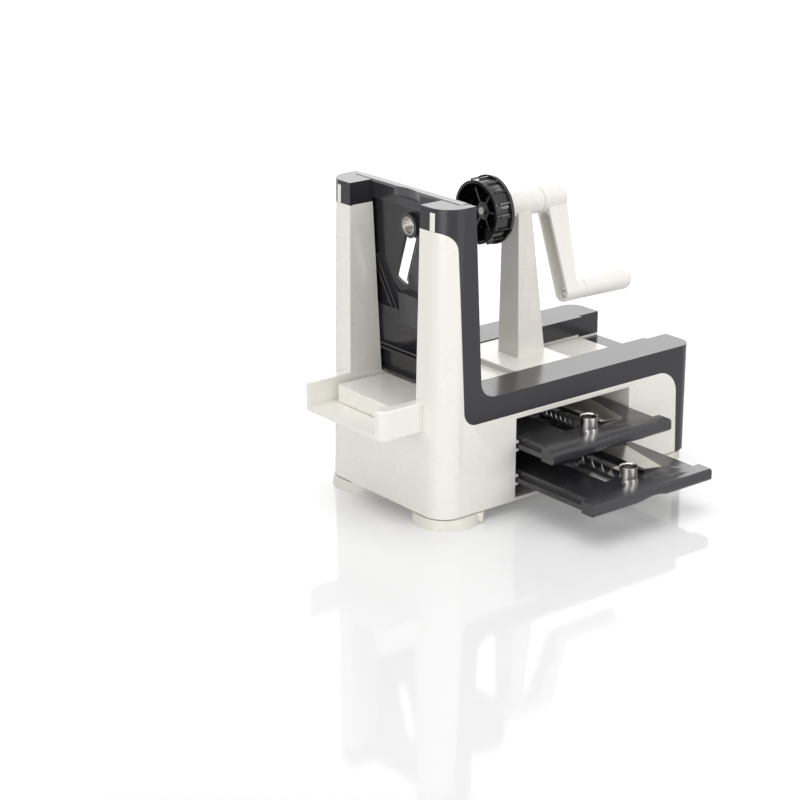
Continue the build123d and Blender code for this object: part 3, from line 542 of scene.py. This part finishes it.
plate_lean = radians(2.9)
plate_top = Vector((-0.0891, 0.043, 0.2505))
upright_frame = Matrix.Translation(plate_top) @ Matrix((
    (0, sin(plate_lean), cos(plate_lean), 0), (-1, 0, 0, 0),
    (0, -cos(plate_lean), sin(plate_lean), 0), (0, 0, 0, 1))) @ Matrix.Scale(millimetre, 4)
# in millimetres: across the plate, down from its top, and away from its outlet side
panel_floor = 4.6
band_floor = 1.8
short_rib_cut = ((-42.0, 72.0, -1.0), (-8.0, 99.9, panel_floor))
pocket_cut = ((-14.0, 84.0, -1.0), (9.0, 99.9, panel_floor))
band_cut = ((-14.0, 99.8, -1.0), (9.0, 109.0, band_floor))
band_fill = ((-13.5, 99.0, band_floor), (8.5, 108.5, 4.2))
rib_width = 1.6
rib_low = 1.2
rib_sunk = 0.4
rib_ends = (((-24.9, 100.5), (-51.8, 55.4)), ((-19.6, 100.5), (-43.5, 60.0)))
pocket_corners = ((-3.1, 89.3), (-9.3, 100.2), (6.7, 107.1), (8.7, 91.5))


def rib_solid(start, end):
    """A straight rib between two points on the outlet side."""
    along = Vector((end[0] - start[0], end[1] - start[1], 0))
    turn = Matrix.Translation((*start, 0)) @ Matrix.Rotation(
        Vector((1, 0)).angle_signed(along.xy) * -1, 4, "Z")
    return block_solid("rib", (0, -rib_width / 2, rib_low),
                       (along.length, rib_width / 2, panel_floor + rib_sunk),
                       upright_frame @ turn)


ribs = [rib_solid(start, end) for start, end in rib_ends]
for index, corner in enumerate(pocket_corners):
    ribs.append(rib_solid(pocket_corners[index - 1], corner))
cuts = [block_solid("cut", low, high, upright_frame)
        for low, high in (short_rib_cut, pocket_cut, band_cut)]
piece = shaped(merged_copy("slicing_plate_frame"), cut=cuts)
ribs.append(block_solid("band_fill", *band_fill, upright_frame))
piece = eased(shaped(piece, added=ribs), plate_edge)
dress(piece, "slicing_plate", "trim", plate_plastic, "slicing_plate_frame")


# Steel blades and coring tubes.
# Polished stainless sheet, ground to an edge and screwed down, and a thin tube pressed in
# beside it.

streak_detail = 3.0
streak_dark = 0.80
streak_bright = 1.15
stain_scale = 60.0
stain_roughness = 0.16


def steel_group():
    """Colour, roughness and height of ground steel, its grinding lines along one axis."""
    group = node_group("ground_steel_surface", "ShaderNodeTree", {
        "Colour": "Color", "Line Scale": "Vector", "Roughness": "Float"}, surface_outputs)
    given = node(group, "NodeGroupInput").outputs
    position = node(group, "ShaderNodeTexCoord").outputs["Object"]
    stretched = node(group, "ShaderNodeVectorMath", {
        0: position, 1: given["Line Scale"]}, operation="MULTIPLY")
    streak = node(group, "ShaderNodeTexNoise", {
        "Vector": stretched.outputs[0], "Scale": 1.0,
        "Detail": streak_detail}).outputs["Fac"]
    stain = node(group, "ShaderNodeTexNoise", {"Vector": position, "Scale": stain_scale})
    shade = node(group, "ShaderNodeMapRange", {
        "Value": streak, "To Min": streak_dark, "To Max": streak_bright})
    tinted = node(group, "ShaderNodeVectorMath", {
        0: given["Colour"], "Scale": shade.outputs[0]}, operation="SCALE")
    roughness = maths(group, "MULTIPLY_ADD", stain.outputs["Fac"], stain_roughness,
                      given["Roughness"])
    node(group, "NodeGroupOutput", {
        "Colour Out": tinted.outputs[0], "Roughness Out": roughness, "Height": streak})
    return group


ground_steel_surface = steel_group()
line_relief = {"Strength": 0.2, "Distance": 0.00003}


def steel_material(name, colour, line_scale, roughness):
    """Ground or drawn steel with its own direction of lines."""
    return surfaced_material(name, ground_steel_surface, {
        "Colour": (*colour, 1), "Line Scale": line_scale, "Roughness": roughness},
        line_relief, {"Metallic": 1.0})


small_edge = 0.00015
blade_edge = 0.00012
blade_steel = steel_material(
    "blade_steel", colour=(0.72, 0.71, 0.68), line_scale=(60.0, 1800.0, 60.0), roughness=0.09)
tube_steel = steel_material(
    "tube_steel", colour=(0.66, 0.65, 0.62), line_scale=(60.0, 60.0, 1800.0), roughness=0.10)
for plate in ("slicing", "fine", "coarse"):
    node_name = plate + "_coring_tube"
    dress(eased_copy(node_name, small_edge), plate + "_plate", "steel", tube_steel, node_name)
dress(eased_copy("slicing_blade", blade_edge), "slicing_plate", "steel", blade_steel,
      "slicing_blade")


# Raised blades of the shredding plates.
# Stainless sheet on the moulded wedge, its cutting edge lifted over the slot and ground thin, its
# back edge cut on a slant. Screws from underneath hold it.

edge_thickness = 0.05
screw_edge = 0.0002
screw_drop = -0.0016
for plate in ("fine", "coarse"):
    node_name = plate + "_blade"
    rings = []
    for v, back, lift, ground, ground_lift in blade_lines(plate):
        rings.append(((blade_edge_u, v, cover_high + lift),
                      (blade_edge_u, v, cover_high + lift + edge_thickness),
                      (ground, v, cover_high + ground_lift + blade_sheet),
                      (back, v, cover_high + blade_sheet), (back, v, cover_high),
                      (ground, v, cover_high + ground_lift)))
    piece = section_solid(node_name + "_sheet", rings, stored_frame(plate))
    dress(piece, plate + "_plate", "steel", blade_steel, node_name)
    # the screws, turned upside down in their own height
    screws = plate + "_blade_screws"
    low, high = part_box(screws)
    piece = eased_copy(screws, screw_edge)
    piece.data.transform(Matrix.Translation((0, 0, low[2] + high[2])) @ Matrix.Scale(
        -1, 4, Vector((0, 0, 1))))
    piece.data.flip_normals()
    piece.data.transform(Matrix.Translation((0, 0, screw_drop)))
    dress(piece, plate + "_plate", "steel", tube_steel, screws)


# Combs.
# A strip of stainless sheet stands in the panel with a row of slender pointed teeth, hollow at
# their sides, which cut slits ahead of the blade.

spike_sides = 4
spike_rows = 8
spike_tip_radius = 0.02
spike_foot_radius = 0.7071
hollow_power = 0.9


def comb_tree():
    """A strip along Y with a row of curved, pointed teeth on its upper edge."""
    tree = node_group("comb_of_teeth", "GeometryNodeTree", {
        "Geometry": "Geometry", "Length": "Float", "Depth": "Float", "Sheet": "Float",
        "Tooth Width": "Float", "Rise": "Float", "Count": "Int", "Material": "Material"},
        {"Geometry": "Geometry"})
    given = node(tree, "NodeGroupInput").outputs
    strip_size = node(tree, "ShaderNodeCombineXYZ", {
        "X": given["Sheet"], "Y": given["Length"], "Z": given["Depth"]})
    strip = node(tree, "GeometryNodeMeshCube", {"Size": strip_size.outputs[0]})
    lowered = node(tree, "ShaderNodeCombineXYZ", {
        "Z": maths(tree, "MULTIPLY", given["Depth"], -0.5)})
    strip_place = node(tree, "GeometryNodeTransform", {
        "Geometry": strip.outputs["Mesh"], "Translation": lowered.outputs[0]})
    # one tooth: a four sided spike of unit size, its sides drawn in to a hollow curve
    spike = node(tree, "GeometryNodeMeshCone", {
        "Vertices": spike_sides, "Side Segments": spike_rows, "Radius Top": spike_tip_radius,
        "Radius Bottom": spike_foot_radius, "Depth": 1.0})
    squared = node(tree, "GeometryNodeTransform", {
        "Geometry": spike.outputs["Mesh"], "Rotation": (0, 0, radians(45))})
    here = node(tree, "GeometryNodeInputPosition")
    parts = node(tree, "ShaderNodeSeparateXYZ", {0: here.outputs[0]}).outputs
    left = maths(tree, "SUBTRACT", 1.0, parts["Z"], clamp=True)
    narrow = maths(tree, "MULTIPLY", parts["Y"], maths(tree, "POWER", left, hollow_power))
    curved_place = node(tree, "ShaderNodeCombineXYZ", {
        "X": parts["X"], "Y": narrow, "Z": parts["Z"]})
    curved = node(tree, "GeometryNodeSetPosition", {
        "Geometry": squared.outputs["Geometry"], "Position": curved_place.outputs[0]})
    # the row, centred on the strip
    share = maths(tree, "DIVIDE", given["Length"], given["Count"])
    gap = node(tree, "ShaderNodeCombineXYZ", {"Y": share})
    first = maths(tree, "MULTIPLY", maths(tree, "SUBTRACT", share, given["Length"]), 0.5)
    first_place = node(tree, "ShaderNodeCombineXYZ", {"Y": first})
    row = node(tree, "GeometryNodeMeshLine", {
        "Count": given["Count"], "Start Location": first_place.outputs[0],
        "Offset": gap.outputs[0]})
    tooth_size = node(tree, "ShaderNodeCombineXYZ", {
        "X": given["Sheet"], "Y": given["Tooth Width"], "Z": given["Rise"]})
    placed = node(tree, "GeometryNodeInstanceOnPoints", {
        "Points": row.outputs["Mesh"], "Instance": curved.outputs["Geometry"],
        "Scale": tooth_size.outputs[0]})
    whole = node(tree, "GeometryNodeJoinGeometry")
    for part in (placed.outputs["Instances"], strip_place.outputs["Geometry"]):
        feed(tree, whole, {0: part})
    real = node(tree, "GeometryNodeRealizeInstances", {"Geometry": whole.outputs[0]})
    finish = node(tree, "GeometryNodeSetMaterial", {
        "Geometry": real.outputs["Geometry"], "Material": given["Material"]})
    node(tree, "NodeGroupOutput", {0: finish.outputs["Geometry"]})
    return tree


def grown(name, tree, values):
    """Run a geometry tree with these values and keep what it makes as a plain mesh."""
    mesh = bpy.data.meshes.new(name)
    mesh.from_pydata([(0, 0, 0)], [], [])
    piece = new_object(name, mesh)
    modifier = piece.modifiers.new("made", "NODES")
    modifier.node_group = tree
    for socket in tree.interface.items_tree:
        if socket.in_out == "INPUT" and socket.name in values:
            modifier[socket.identifier] = values[socket.name]
    return plain_mesh(piece)


comb_of_teeth = comb_tree()
comb_shoulder = 7.3
# each comb's count of teeth, and a tooth's width and height
comb_teeth = {"fine": (8, 0.0046, 0.0062), "coarse": (4, 0.0086, 0.0088)}
for plate, (count, tooth_width, rise) in comb_teeth.items():
    low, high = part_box(plate + "_comb")
    shoulder = lip_edge[plate][2] + comb_shoulder * millimetre
    piece = grown(plate + "_comb_teeth", comb_of_teeth, {
        "Length": high[1] - low[1], "Depth": shoulder - low[2], "Sheet": high[0] - low[0],
        "Tooth Width": tooth_width, "Rise": rise, "Count": count, "Material": blade_steel})
    centre = Matrix.Translation(((low[0] + high[0]) / 2, (low[1] + high[1]) / 2, shoulder))
    piece.data.transform(centre)
    dress(piece, plate + "_plate", "steel", blade_steel, plate + "_comb")


# Toothed holder.
# A glossy black moulding on the spindle's front end: a flange, a ribbed drum with a crown of
# teeth, and gripping pins.

holder_edge = 0.0003
black_plastic = moulded_material(
    "black_plastic", colour=(0.005, 0.005, 0.006), edge_colour=(0.05, 0.05, 0.05),
    edge_amount=0.12, roughness=0.16, grain_scale=1800.0, mottle=0.04, coat=0.5)
piece = eased_copy("food_holder_disc", holder_edge)
dress(piece, "crank", "holder", black_plastic, "food_holder_disc")


# Spindle, bushes and screws.
# A drawn steel spindle in two pale acetal bushes, and bright zinc plated screws.

spindle_steel = steel_material(
    "spindle_steel", colour=(0.58, 0.58, 0.58), line_scale=(1500.0, 40.0, 40.0),
    roughness=0.22)
acetal = moulded_material(
    "acetal", colour=(0.72, 0.71, 0.67), edge_colour=(0.8, 0.8, 0.78), edge_amount=0.2,
    roughness=0.4, grain_scale=1500.0, mottle=0.02, coat=0.0)
for node_name, body, slot_name, material in (
        ("spindle_shaft", "crank", "steel", spindle_steel),
        ("holder_screw", "crank", "steel", tube_steel),
        ("column_screws", "carriage", "steel", tube_steel),
        ("cover_screws", "base", "steel", tube_steel),
        ("front_spindle_bush", "carriage", "bush", acetal),
        ("rear_spindle_bush", "carriage", "bush", acetal)):
    piece = eased_copy(node_name, small_edge)
    dress(piece, body, slot_name, material, node_name)


# Suction feet.
# Soft translucent cups in natural silicone, each with a tab at its rim to break the suction.

foot_edge = 0.0004
silicone = surfaced_material("silicone", moulded_surface, {
    "Colour": (0.90, 0.885, 0.81, 1), "Edge Colour": (0.88, 0.87, 0.82, 1),
    "Edge Amount": 0.1, "Roughness": 0.34, "Grain Scale": 900.0, "Mottle": 0.03}, None, {
    "Subsurface Weight": 0.5, "Subsurface Radius": (0.01, 0.009, 0.006),
    "Transmission Weight": 0.15})
for node_name in ("near_front_foot", "far_front_foot", "near_rear_foot", "far_rear_foot"):
    piece = eased_copy(node_name, foot_edge)
    dress(piece, "base", "foot", silicone, node_name)
